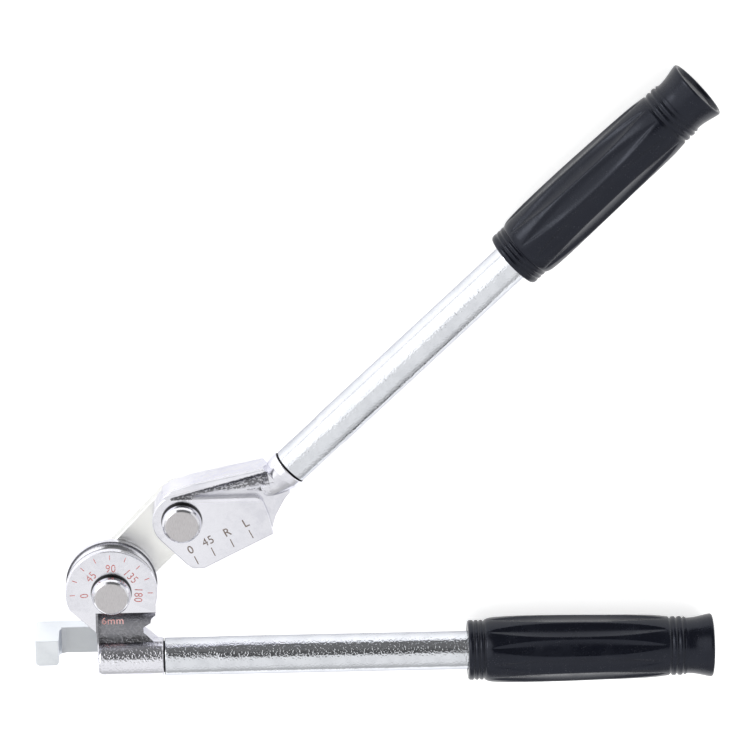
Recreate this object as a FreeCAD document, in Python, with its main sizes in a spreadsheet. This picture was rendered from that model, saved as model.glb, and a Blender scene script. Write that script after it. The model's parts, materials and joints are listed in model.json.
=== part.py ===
"""Two-stage lever tube bender for 6 mm tube, as a parametric FreeCAD document.

Frame: origin on the main pivot axis in the mid-plane of the tube groove, X along the form
handle, Y across the tool in its own plane, Z out of the dial face.  Millimetres.
"""
import FreeCAD
import Part
import Sketcher
import math
import os
import re

App = FreeCAD
Vec = App.Vector
Turn = App.Rotation

DIMENSIONS = {
    # tube and form wheel
    "tube_radius": 3.0,
    "groove_radius": 3.05,
    "bend_radius": 17.0,
    "groove_entry": 24.0,
    "groove_exit": 14.6,
    "form_radius": 17.2,
    "face_z": 6.2,
    "back_z": -5.8,
    "neck_left": -5.8,
    "neck_right": 17.0,
    "scoop_radius": 10.1,
    "scoop_y": -17.0,
    "scoop_z": 11.0,
    # handles: both the same
    "handle_drop": -29.0,
    "joint_x": 19.0,
    "socket_radius": 7.4,
    "spigot_radius": 5.9,
    "spigot_length": 24.0,
    "handle_radius": 7.25,
    "handle_bore": 5.95,
    "bare_length": 115.0,
    "hidden_length": 84.0,
    "joint_gap": 0.35,
    "grip_bore": 7.3,
    "grip_length": 93.0,
    # link and pins
    "pivot_spacing": 39.26,
    "link_angle": 46.55,
    "link_front": -6.35,
    "link_back": -12.6,
    "link_main_radius": 10.0,
    "link_shoe_radius": 10.6,
    "counterbore_radius": 7.2,
    "counterbore_z": -10.05,
    "bush_radius": 5.5,
    "pin_radius": 4.0,
    "run_gap": 0.03,
    "head_radius": 7.4,
    "head_face_radius": 5.9,
    "head_height": 5.0,
    "head_drum": 1.6,
    "pin_end": -12.2,
    "clip_groove_radius": 3.3,
    "clip_top": -10.85,
    "clip_bottom": -11.85,
    "clip_radius": 6.5,
    "washer_radius": 7.0,
    # shoe
    "shoe_turn": 43.96,
    "shoe_offset": -14.66,
    "shoe_joint_x": 42.2,
    "shoe_boss_radius": 11.0,
    "shoe_face_distance": 20.7,
    "shoe_face_tilt": -16.7,
    "valley_tip_radius": 0.3,
    "valley_mouth_radius": 5.6,
    "valley_length": 37,
    "valley_turn": -35.7,
    "valley_rise": 3.2,
    "web_z": 4.0,
    # latch
    "latch_outer_x": -29.2,
    "latch_inner_x": -20.3,
    "latch_arm_x": -6.1,
    "latch_top_y": -19.0,
    "latch_low_y": -29.2,
    "latch_front_z": 6.3,
    "latch_arm_z": -6.0,
    "latch_back_z": -12.6,
    "latch_pivot_y": -26.5,
    "latch_pivot_z": -9.5,
    "latch_pin_radius": 1.5,
    "lug_radius": 3.1,
    "lug_right": 8.0,
}

doc = App.newDocument("tube_bender")
sheet = doc.addObject("Spreadsheet::Sheet", "dims")
for row, (alias, value) in enumerate(DIMENSIONS.items(), start=1):
    sheet.set(f"A{row}", alias)
    sheet.set(f"B{row}", str(value))
    sheet.setAlias(f"B{row}", alias)
doc.recompute()


def bound(formula):
    """Turn a formula over aliases into a spreadsheet expression."""
    return re.sub(r"[a-z]+_[a-z_]+", lambda word: "dims." + word.group(0), str(formula))


def value_of(formula):
    """Work a formula out with FreeCAD's own expression engine."""
    return float(sheet.evalExpression(bound(formula)))


def plane_of(body, role):
    """Find one of a body's own origin planes."""
    return next(item for item in body.Origin.OriginFeatures if item.Role == role)


def add_body(label, base=(0.0, 0.0, 0.0), angle=0.0):
    """Start one sub-part with its own placement."""
    body = doc.addObject("PartDesign::Body", label)
    body.Label = label
    body.Placement = App.Placement(Vec(*base), Turn(Vec(0, 0, 1), angle))
    return body


def add_sketch(body, role, offset=None):
    """Attach a new sketch to an origin plane, moved along its normal if asked."""
    sketch = body.newObject("Sketcher::SketchObject", body.Label + "_outline")
    sketch.AttachmentSupport = [(plane_of(body, role), "")]
    sketch.MapMode = "FlatFace"
    if offset is not None:
        sketch.setExpression("AttachmentOffset.Base.z", bound(offset))
    return sketch


def constrain(sketch, kind, indices, formula):
    """Add one dimension to a sketch and bind it to its formula."""
    constraint = Sketcher.Constraint(kind, *indices, value_of(formula))
    number = sketch.addConstraint(constraint)
    sketch.setExpression(f"Constraints[{number}]", bound(formula))


def draw_outline(sketch, points):
    """Draw a closed polyline whose corners are bound to formulas."""
    count = len(points)
    corners = [Vec(value_of(across), value_of(up), 0) for across, up in points]
    for index in range(count):
        sketch.addGeometry(Part.LineSegment(corners[index], corners[(index + 1) % count]), False)
    for index in range(count):
        sketch.addConstraint(Sketcher.Constraint("Coincident", index, 2, (index + 1) % count, 1))
    for index, (across, up) in enumerate(points):
        constrain(sketch, "DistanceX", (-1, 1, index, 1), across)
        constrain(sketch, "DistanceY", (-1, 1, index, 1), up)
    return sketch


def draw_circle(sketch, across, up, radius):
    """Draw a circle whose centre and radius are bound to formulas."""
    centre = Vec(value_of(across), value_of(up), 0)
    circle = Part.Circle(centre, Vec(0, 0, 1), value_of(radius))
    index = sketch.addGeometry(circle, False)
    constrain(sketch, "Radius", (index,), radius)
    constrain(sketch, "DistanceX", (-1, 1, index, 3), across)
    constrain(sketch, "DistanceY", (-1, 1, index, 3), up)
    return sketch


def draw_bend_path(sketch):
    """Draw the tube's path: in along the left flank, over the wheel and out on the right."""
    radius = value_of("bend_radius")
    entry = value_of("groove_entry")
    leave = value_of("groove_exit")
    sketch.addGeometry(Part.LineSegment(Vec(-radius, -entry, 0), Vec(-radius, 0, 0)), False)
    bend = Part.Circle(Vec(0, 0, 0), Vec(0, 0, 1), radius)
    sketch.addGeometry(Part.ArcOfCircle(bend, 0, math.pi), False)
    sketch.addGeometry(Part.LineSegment(Vec(radius, 0, 0), Vec(radius, -leave, 0)), False)
    sketch.addConstraint(Sketcher.Constraint("Coincident", 0, 2, 1, 2))
    sketch.addConstraint(Sketcher.Constraint("Coincident", 1, 1, 2, 1))
    sketch.addConstraint(Sketcher.Constraint("Coincident", 1, 3, -1, 1))
    constrain(sketch, "Radius", (1,), "bend_radius")
    constrain(sketch, "DistanceX", (-1, 1, 0, 1), "-bend_radius")
    constrain(sketch, "DistanceX", (-1, 1, 2, 2), "bend_radius")
    constrain(sketch, "DistanceY", (-1, 1, 0, 1), "-groove_entry")
    constrain(sketch, "DistanceY", (-1, 1, 2, 2), "-groove_exit")
    constrain(sketch, "DistanceY", (-1, 1, 0, 2), "0")
    constrain(sketch, "DistanceY", (-1, 1, 2, 1), "0")
    return sketch


def volume_of(body):
    """Recompute and measure a body."""
    doc.recompute()
    return body.Shape.Volume


def pad(body, sketch, length, back=False):
    """Add an extrusion along the sketch normal, or against it."""
    feature = body.newObject("PartDesign::Pad", body.Label + "_pad")
    feature.Profile = sketch
    feature.setExpression("Length", bound(length))
    feature.Reversed = back
    doc.recompute()
    return feature


def pocket(body, sketch, length, back=False):
    """Cut an extrusion and make sure that it took something away."""
    before = volume_of(body)
    feature = body.newObject("PartDesign::Pocket", body.Label + "_pocket")
    feature.Profile = sketch
    feature.setExpression("Length", bound(length))
    feature.Reversed = back
    if volume_of(body) >= before - 1e-6:
        raise RuntimeError(f"{feature.Label} cuts nothing")
    return feature


def revolve(body, sketch, axis, cutting=False):
    """Turn a profile about one of its sketch axes, adding or cutting."""
    kind = "Groove" if cutting else "Revolution"
    feature = body.newObject("PartDesign::" + kind, body.Label + "_turned")
    feature.Profile = sketch
    feature.ReferenceAxis = (sketch, [axis])
    feature.Angle = 360.0
    doc.recompute()
    return feature


def bore(body, across, up, radius, bottom, top):
    """Cut a round hole along Z between two heights."""
    sketch = draw_circle(add_sketch(body, "XY_Plane", top), across, up, radius)
    return pocket(body, sketch, f"({top}) - ({bottom})")


def turned(label, profile, base=(0.0, 0.0, 0.0), angle=0.0, axis="V_Axis"):
    """Make a turned piece from a half profile in the body's own XZ plane."""
    body = add_body(label, base, angle)
    revolve(body, draw_outline(add_sketch(body, "XZ_Plane"), profile), axis)
    return body


def soften(body, edge_filter, radius, kind="Fillet"):
    """Round or chamfer the edges that a test picks out."""
    doc.recompute()
    names = [
        f"Edge{number}"
        for number, edge in enumerate(body.Tip.Shape.Edges, start=1)
        if edge_filter(edge)
    ]
    target = body.Tip
    feature = body.newObject("PartDesign::" + kind, body.Label + "_edges")
    feature.Base = (target, names)
    property_name = "Radius" if kind == "Fillet" else "Size"
    setattr(feature, property_name, radius)
    doc.recompute()
    return feature


def straight_along(edge, axis, place):
    """Tell whether a straight edge runs along an axis through a place."""
    if not isinstance(edge.Curve, Part.Line) and not isinstance(edge.Curve, Part.LineSegment):
        return False
    ends = [vertex.Point for vertex in edge.Vertexes]
    for index in range(3):
        if index == axis:
            continue
        if any(abs(end[index] - place[index]) > 0.01 for end in ends):
            return False
    return True


def level_with(edge, height):
    """Tell whether an edge lies in a flat level plane."""
    points = [vertex.Point for vertex in edge.Vertexes]
    points.append(edge.valueAt((edge.FirstParameter + edge.LastParameter) / 2.0))
    return all(abs(point.z - height) < 0.01 for point in points)


def round_rim(edge, height):
    """Tell whether an edge is part of a round rim in a flat level plane."""
    return isinstance(edge.Curve, Part.Circle) and level_with(edge, height)


SHOE_BASE = (
    value_of("pivot_spacing * cos(link_angle * 1deg)"),
    value_of("pivot_spacing * sin(link_angle * 1deg)"),
    0.0,
)
SHOE_ANGLE = value_of("shoe_turn")
LINK_ANGLE = value_of("link_angle")
HANDLE_BASE = (0.0, value_of("handle_drop"), 0.0)


def build_form_head():
    """Forge the form wheel, its neck, the handle socket and the latch lug as one piece."""
    body = add_body("form_head")
    depth = "face_z - back_z"
    wheel = draw_circle(add_sketch(body, "XY_Plane", "back_z"), 0, 0, "form_radius")
    pad(body, wheel, depth)
    neck = [
        (-15.6, -6.6),
        ("neck_left", -16.2),
        ("neck_left", "handle_drop"),
        ("neck_right", "handle_drop"),
        ("neck_right", -23.4),
        (11.6, -18.6),
        (11.4, -16.6),
        (15.8, -13.6),
        (16.4, -8),
        (16.4, 0),
        (0, 0),
    ]
    pad(body, draw_outline(add_sketch(body, "XY_Plane", "back_z"), neck), depth)
    clearance = [
        (-17.2, -5.03),
        ("neck_left", -16.2),
        ("neck_left", -20),
        (-20, -20),
        (-20, -5.03),
    ]
    flat = draw_outline(add_sketch(body, "XY_Plane", "back_z - 1"), clearance)
    pocket(body, flat, "face_z - back_z + 2", back=True)
    scoop = add_sketch(body, "YZ_Plane", "neck_left + 0.6")
    draw_circle(scoop, "scoop_y", "scoop_z", "scoop_radius")
    pocket(body, scoop, "neck_right - neck_left + 4", back=True)
    socket = [
        ("neck_left", 0),
        ("neck_left", "socket_radius - 1.2"),
        ("neck_left + 0.35", "socket_radius - 0.35"),
        ("neck_left + 1.2", "socket_radius"),
        ("joint_x - 0.4", "socket_radius"),
        ("joint_x", "socket_radius - 0.4"),
        ("joint_x", "spigot_radius"),
        ("joint_x + spigot_length - 1", "spigot_radius"),
        ("joint_x + spigot_length", "spigot_radius - 1"),
        ("joint_x + spigot_length", 0),
    ]
    barrel = body.newObject("Sketcher::SketchObject", "form_head_barrel")
    barrel.AttachmentSupport = [(plane_of(body, "XZ_Plane"), "")]
    barrel.MapMode = "FlatFace"
    barrel.setExpression("AttachmentOffset.Base.z", bound("-handle_drop"))
    revolve(body, draw_outline(barrel, socket), "H_Axis")
    lug = add_sketch(body, "YZ_Plane", "neck_left")
    draw_circle(lug, "latch_pivot_y", "latch_pivot_z", "lug_radius")
    pad(body, lug, "lug_right - neck_left")
    cheek = add_sketch(body, "YZ_Plane", "neck_left")
    cheek_outline = [
        ("latch_pivot_y - lug_radius", "latch_pivot_z"),
        ("latch_pivot_y + lug_radius", "latch_pivot_z"),
        ("latch_pivot_y + lug_radius", -4),
        ("latch_pivot_y - lug_radius", -4),
    ]
    pad(body, draw_outline(cheek, cheek_outline), "lug_right - neck_left")
    for height in ("face_z", "back_z"):
        soften(body, lambda edge: round_rim(edge, value_of(height)), 0.45)
    before = volume_of(body)
    channel = body.newObject("PartDesign::SubtractivePipe", "form_head_channel")
    section = add_sketch(body, "XZ_Plane", "groove_entry")
    channel.Profile = draw_circle(section, "-bend_radius", 0, "groove_radius")
    channel.Spine = draw_bend_path(add_sketch(body, "XY_Plane"))
    body.Tip = channel
    if volume_of(body) >= before - 1e-6:
        raise RuntimeError("the tube groove cuts nothing")
    bore(body, 0, 0, "pin_radius + run_gap", "back_z - 1", "face_z + 1")
    pin_hole = add_sketch(body, "YZ_Plane", "neck_left - 1")
    draw_circle(pin_hole, "latch_pivot_y", "latch_pivot_z", "latch_pin_radius + run_gap")
    pocket(body, pin_hole, "lug_right - neck_left + 2", back=True)
    return body


def build_shoe_head():
    """Forge the shoe, its boss and the second handle's socket as one piece."""
    body = add_body("shoe_head", SHOE_BASE, SHOE_ANGLE)
    foot_x = "shoe_face_distance * sin(shoe_face_tilt * 1deg)"
    foot_y = "-shoe_face_distance * cos(shoe_face_tilt * 1deg)"
    run_x = "cos(shoe_face_tilt * 1deg)"
    run_y = "sin(shoe_face_tilt * 1deg)"

    def along(distance):
        """Place a corner on the working face, a distance from its foot."""
        return (f"{foot_x} + {distance} * {run_x}", f"{foot_y} + {distance} * {run_y}")

    boss = draw_circle(add_sketch(body, "XY_Plane", "back_z"), 0, 0, "shoe_boss_radius")
    pad(body, boss, "face_z - back_z")
    web = [
        (1.5, 11.9),
        (5.5, 11.4),
        (13, 7.9),
        ("shoe_joint_x - 6", -6.6),
        ("shoe_joint_x - 6", "shoe_offset - 6.2"),
        (33, -21.2),
        (26, -23.6),
        along("26.5"),
        along("-1.5"),
        (-10.6, -16.4),
        (-11, -13.6),
        (-11, 0),
        (0, 0),
    ]
    pad(body, draw_outline(add_sketch(body, "XY_Plane", "back_z"), web), "web_z - back_z")
    plate = [
        (1.6, 10.88),
        (4.2, 9.1),
        (28, -13.6),
        (24.4, -21.6),
        along("27.8"),
        along("26.5"),
        along("-1.5"),
        (-10.6, -16.4),
        (-11, -13.6),
        (-11, 0),
        (0, 0),
    ]
    pad(body, draw_outline(add_sketch(body, "XY_Plane", "web_z - 1"), plate), "face_z - web_z + 1")
    soften(body, lambda edge: straight_along(edge, 2, (28, -13.6, 0)), 4.2)
    rib = [
        (1.5, 11.9),
        (5.5, 11.4),
        (13, 7.9),
        ("shoe_joint_x - 6", -6.6),
        ("shoe_joint_x - 6", -13.9),
        (4, 8.7),
        (2, 9.4),
    ]
    rib_sketch = add_sketch(body, "XY_Plane", "web_z - 1")
    pad(body, draw_outline(rib_sketch, rib), "face_z - web_z + 1")
    soften(body, lambda edge: level_with(edge, value_of("face_z")), 0.55)
    soften(body, lambda edge: level_with(edge, value_of("back_z")), 0.4)
    valley = body.newObject("PartDesign::SubtractiveCone", "shoe_head_valley")
    valley.AttachmentSupport = [(plane_of(body, "XY_Plane"), "")]
    valley.MapMode = "FlatFace"
    valley.setExpression("Radius1", bound("valley_tip_radius"))
    valley.setExpression("Radius2", bound("valley_mouth_radius"))
    valley.setExpression("Height", bound("valley_length"))
    fall = math.radians(value_of("valley_turn"))
    rise = math.radians(value_of("valley_rise"))
    heading = Vec(
        math.cos(fall) * math.cos(rise), math.sin(fall) * math.cos(rise), math.sin(rise)
    )
    tip = Vec(3.4, 9.3, value_of("face_z + 0.1"))
    valley.AttachmentOffset = App.Placement(tip, Turn(Vec(0, 0, 1), heading))
    socket = [
        ("shoe_joint_x - 19", 0),
        ("shoe_joint_x - 19", 2),
        ("shoe_joint_x - 9", 5.6),
        ("shoe_joint_x - 3", "socket_radius"),
        ("shoe_joint_x - 0.4", "socket_radius"),
        ("shoe_joint_x", "socket_radius - 0.4"),
        ("shoe_joint_x", "spigot_radius"),
        ("shoe_joint_x + spigot_length - 1", "spigot_radius"),
        ("shoe_joint_x + spigot_length", "spigot_radius - 1"),
        ("shoe_joint_x + spigot_length", 0),
    ]
    barrel = add_sketch(body, "XZ_Plane", "-shoe_offset")
    revolve(body, draw_outline(barrel, socket), "H_Axis")
    channel = body.newObject("PartDesign::SubtractiveCylinder", "shoe_head_channel")
    channel.AttachmentSupport = [(plane_of(body, "XY_Plane"), "")]
    channel.MapMode = "FlatFace"
    channel.setExpression("Radius", bound("groove_radius"))
    channel.Height = 70.0
    tilt = value_of("shoe_face_tilt")
    drop = value_of("pivot_spacing - bend_radius")
    middle = Vec(
        drop * math.sin(math.radians(tilt)), -drop * math.cos(math.radians(tilt)), 0
    )
    run = Vec(math.cos(math.radians(tilt)), math.sin(math.radians(tilt)), 0)
    start = middle - run * 35.0
    channel.AttachmentOffset = App.Placement(start, Turn(Vec(0, 0, 1), run))
    bore(body, 0, 0, "pin_radius + run_gap", "back_z - 1", "face_z + 1")
    return body


def build_link():
    """Cut the flat link bar with its bush seats and rear counterbores."""
    body = add_body("link_bar", (0.0, 0.0, 0.0), LINK_ANGLE)
    depth = "link_front - link_back"
    for centre, radius in ((0, "link_main_radius"), ("pivot_spacing", "link_shoe_radius")):
        end = draw_circle(add_sketch(body, "XY_Plane", "link_back"), centre, 0, radius)
        pad(body, end, depth)
    waist = [
        (0, "link_main_radius"),
        (0, "-link_main_radius"),
        ("pivot_spacing", "-link_shoe_radius"),
        ("pivot_spacing", "link_shoe_radius"),
    ]
    pad(body, draw_outline(add_sketch(body, "XY_Plane", "link_back"), waist), depth)
    for height in ("link_front", "link_back"):
        soften(body, lambda edge: level_with(edge, value_of(height)), 0.5)
    for centre in (0, "pivot_spacing"):
        bore(body, centre, 0, "bush_radius + run_gap", "link_back - 1", "link_front + 1")
        bore(body, centre, 0, "counterbore_radius", "link_back - 1", "counterbore_z")
    return body


def build_pivot(name, base, angle):
    """Turn one pivot's pin, washers, bush and retaining ring."""
    pin = [
        (0, "pin_end"),
        ("pin_radius - 0.4", "pin_end"),
        ("pin_radius - 0.1", "pin_end + 0.3"),
        ("pin_radius - 0.1", "clip_bottom - 0.02"),
        ("clip_groove_radius", "clip_bottom - 0.02"),
        ("clip_groove_radius", "clip_top + 0.02"),
        ("pin_radius", "clip_top + 0.02"),
        ("pin_radius", "face_z + 0.02"),
        ("head_radius", "face_z + 0.02"),
        ("head_radius", "face_z + head_drum"),
        ("head_radius - 0.2", "face_z + head_height - 1.6"),
        ("head_radius - 0.7", "face_z + head_height - 0.7"),
        ("head_face_radius", "face_z + head_height"),
        (0, "face_z + head_height"),
    ]
    turned(name + "_pin", pin, base, angle)
    bush = [
        ("pin_radius + run_gap", "counterbore_z"),
        ("bush_radius", "counterbore_z"),
        ("bush_radius", "link_front"),
        ("pin_radius + run_gap", "link_front"),
    ]
    turned(name + "_bush", bush, base, angle)
    front = [
        ("pin_radius + 0.1", "link_front + 0.02"),
        ("washer_radius", "link_front + 0.02"),
        ("washer_radius", "back_z - 0.02"),
        ("pin_radius + 0.1", "back_z - 0.02"),
    ]
    turned(name + "_thrust_washer", front, base, angle)
    rear = [
        ("pin_radius + 0.1", "clip_top + 0.02"),
        ("washer_radius - 0.3", "clip_top + 0.02"),
        ("washer_radius - 0.3", "counterbore_z - 0.03"),
        ("pin_radius + 0.1", "counterbore_z - 0.03"),
    ]
    turned(name + "_rear_washer", rear, base, angle)
    clip = [
        ("clip_groove_radius + 0.05", "clip_bottom"),
        ("clip_radius", "clip_bottom"),
        ("clip_radius", "clip_top"),
        ("clip_groove_radius + 0.05", "clip_top"),
    ]
    ring = turned(name + "_retaining_ring", clip, base, angle)
    mouth = [("2", -2.4), ("clip_radius + 1", -2.4), ("clip_radius + 1", 2.4), ("2", 2.4)]
    gap = draw_outline(add_sketch(ring, "XY_Plane", "clip_top + 0.5"), mouth)
    pocket(ring, gap, "clip_top - clip_bottom + 1")


def build_handle(name, base, angle, joint):
    """Make one handle tube and its moulded grip."""
    start = f"{joint} + joint_gap"
    far = f"{joint} + bare_length + hidden_length"
    tube = [
        (start, "handle_bore"),
        (start, "handle_radius - 0.4"),
        (f"{start} + 0.4", "handle_radius"),
        (far, "handle_radius"),
        (far, "handle_bore"),
    ]
    turned(name + "_tube", tube, base, angle, "H_Axis")
    front = f"{joint} + bare_length"
    outline = [
        (front, "grip_bore"),
        (front, 10.8),
        (f"{front} + 0.6", 11.4),
    ]
    for ring_place in (2.4, 4.1, 5.8):
        outline.append((f"{front} + {ring_place - 0.5}", 11.4))
        outline.append((f"{front} + {ring_place}", 11.0))
        outline.append((f"{front} + {ring_place + 0.5}", 11.5))
    swell = ((9, 12.2), (14, 12.5), (20, 12.65), (30, 12.7), (40, 12.6), (50, 12.4), (60, 12.25),
             (70, 11.9), (75.5, 11.4))
    outline.extend((f"{front} + {place}", radius) for place, radius in swell)
    for ring_place in (76.8, 79.2, 81.6):
        outline.append((f"{front} + {ring_place - 0.6}", 11.1))
        outline.append((f"{front} + {ring_place}", 10.6))
        outline.append((f"{front} + {ring_place + 0.6}", 11.1))
    outline.extend(
        (f"{front} + {place}", radius)
        for place, radius in ((83.6, 10.55), (86, 11.2), (88.6, 12.05), (90.4, 12.1), (92, 11.4))
    )
    outline.append((f"{front} + grip_length", 9.6))
    outline.append((f"{front} + grip_length", 0))
    outline.append((f"{joint} + bare_length + hidden_length + 1", 0))
    outline.append((f"{joint} + bare_length + hidden_length + 1", "grip_bore"))
    turned(name + "_grip", outline, base, angle, "H_Axis")


def build_latch():
    """Make the hook that holds the tube, its hinge pin and its spring washer."""
    body = add_body("latch")
    height = "latch_top_y - latch_low_y"
    hook = [
        ("latch_outer_x", "latch_back_z"),
        ("latch_arm_x", "latch_back_z"),
        ("latch_arm_x", "latch_arm_z"),
        ("latch_inner_x + 2.4", "latch_arm_z"),
        ("latch_inner_x + 0.7", "latch_arm_z + 0.7"),
        ("latch_inner_x", "latch_arm_z + 2.4"),
        ("latch_inner_x", "latch_front_z"),
        ("latch_outer_x", "latch_front_z"),
    ]
    profile = draw_outline(add_sketch(body, "XZ_Plane", "-latch_top_y"), hook)
    pad(body, profile, height)
    low = value_of("latch_low_y")
    top = value_of("latch_top_y")
    back = value_of("latch_back_z")
    front = value_of("latch_front_z")
    outer = value_of("latch_outer_x")
    inner = value_of("latch_inner_x")
    soften(body, lambda edge: straight_along(edge, 0, (0, low, back)), 2.9)
    corners = ((outer, low), (inner, low))
    soften(
        body,
        lambda edge: any(straight_along(edge, 2, (across, up, 0)) for across, up in corners),
        1.6,
    )
    soften(body, lambda edge: straight_along(edge, 0, (0, low, front)), 0.6)
    hole = add_sketch(body, "YZ_Plane", "latch_outer_x + 9")
    draw_circle(hole, "latch_pivot_y", "latch_pivot_z", "latch_pin_radius + run_gap")
    pocket(body, hole, "latch_arm_x - latch_outer_x", back=True)
    base = (0.0, value_of("latch_pivot_y"), value_of("latch_pivot_z"))
    pin = [
        ("latch_outer_x + 9.3", 0),
        ("latch_outer_x + 9.3", "latch_pin_radius"),
        ("lug_right + 0.75", "latch_pin_radius"),
        ("lug_right + 0.75", 2.2),
        ("lug_right + 1.7", 2.2),
        ("lug_right + 2.3", 1.6),
        ("lug_right + 2.3", 0),
    ]
    turned("latch_pin", pin, base, 0.0, "H_Axis")
    washer = [
        ("lug_right + 0.05", "latch_pin_radius + 0.1"),
        ("lug_right + 0.05", 2.25),
        ("lug_right + 0.7", 2.25),
        ("lug_right + 0.7", "latch_pin_radius + 0.1"),
    ]
    turned("latch_spring_washer", washer, base, 0.0, "H_Axis")


def check_document():
    """Stop if any object is in error or any finished shape is unsound."""
    doc.recompute()
    for item in doc.Objects:
        if "Invalid" in item.State or "Error" in item.State:
            raise RuntimeError(f"{item.Label}: {item.State}")
    for item in doc.findObjects("PartDesign::Body"):
        shape = item.Shape
        if not shape.isValid() or len(shape.Solids) != 1 or shape.Volume <= 0:
            raise RuntimeError(f"{item.Label} is not one sound solid")


build_form_head()
build_handle("form", HANDLE_BASE, 0.0, "joint_x")
build_pivot("main", (0.0, 0.0, 0.0), 0.0)
build_link()
build_shoe_head()
turned_offset = Turn(Vec(0, 0, 1), SHOE_ANGLE).multVec(Vec(0, value_of("shoe_offset"), 0))
SHOE_HANDLE_BASE = tuple(Vec(*SHOE_BASE) + turned_offset)
build_handle("shoe", SHOE_HANDLE_BASE, SHOE_ANGLE, "shoe_joint_x")
build_pivot("shoe", SHOE_BASE, SHOE_ANGLE)
build_latch()
check_document()

os.makedirs("parts", exist_ok=True)
for item in doc.findObjects("PartDesign::Body"):
    item.Shape.exportStep(f"parts/{item.Label}.step")
    print(item.Label, round(item.Shape.Volume, 1))
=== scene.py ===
"""Looks for a two-stage lever tube bender: plated forgings, vinyl grips, red dial, studio."""

import json
import logging
import math
from dataclasses import dataclass, field
from enum import Enum
from typing import Callable

import bmesh
import bpy
from mathutils import Matrix, Vector

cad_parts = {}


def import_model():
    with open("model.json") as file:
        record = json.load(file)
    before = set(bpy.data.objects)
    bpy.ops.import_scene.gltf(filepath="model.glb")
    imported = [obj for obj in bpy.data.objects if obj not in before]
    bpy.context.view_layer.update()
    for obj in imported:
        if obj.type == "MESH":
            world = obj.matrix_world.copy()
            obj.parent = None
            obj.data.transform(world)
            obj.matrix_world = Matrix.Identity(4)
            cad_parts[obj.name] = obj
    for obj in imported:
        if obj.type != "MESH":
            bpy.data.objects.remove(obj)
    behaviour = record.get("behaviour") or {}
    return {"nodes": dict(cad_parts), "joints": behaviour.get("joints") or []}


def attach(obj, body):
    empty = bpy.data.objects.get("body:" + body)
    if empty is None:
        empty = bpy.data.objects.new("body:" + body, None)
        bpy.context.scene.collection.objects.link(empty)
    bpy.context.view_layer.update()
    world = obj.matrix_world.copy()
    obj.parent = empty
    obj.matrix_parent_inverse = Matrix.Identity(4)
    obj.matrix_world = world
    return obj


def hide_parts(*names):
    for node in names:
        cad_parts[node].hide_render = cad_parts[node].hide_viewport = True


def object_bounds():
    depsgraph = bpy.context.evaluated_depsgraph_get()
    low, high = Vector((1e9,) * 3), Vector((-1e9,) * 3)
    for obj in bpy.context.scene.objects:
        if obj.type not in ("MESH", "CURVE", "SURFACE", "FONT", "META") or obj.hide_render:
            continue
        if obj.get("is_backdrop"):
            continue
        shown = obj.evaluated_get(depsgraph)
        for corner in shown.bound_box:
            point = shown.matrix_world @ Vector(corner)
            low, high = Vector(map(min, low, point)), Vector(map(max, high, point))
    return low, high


LOG = logging.getLogger("tube_bender")
MM = 0.001
Point = tuple[float, float]
Place = tuple[float, float, float]
Colour = tuple[float, float, float]

# The tool's own sizes, as in its solids.
FACE_HEIGHT = 6.2 * MM
HANDLE_DROP = -29.0 * MM
FORM_JOINT = 19.0 * MM
SHOE_JOINT = 42.2 * MM
SHOE_OFFSET = -14.66 * MM
SHOE_TURN = math.radians(43.96)
SHOE_PIVOT = Vector((27.0 * MM, 28.502 * MM, 0.0))
SCOOP_UP = -17.0 * MM
SCOOP_HIGH = 11.0 * MM
SCOOP_RADIUS = 10.1 * MM
ALONG_X = (1.0, 0.0, 0.0)
ALONG_Y = (0.0, 1.0, 0.0)
ALONG_Z = (0.0, 0.0, 1.0)


class Lever(Enum):
    """The two handled levers of the tool, by the prefix of their nodes."""

    FORM = "form"
    SHOE = "shoe"


class Surface(Enum):
    """Where a row of marks is laid."""

    DIAL_FACE = "dial"
    SCOOP = "scoop"
    SHOE_FACE = "shoe"


# ---------------------------------------------------------------- shader building


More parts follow.
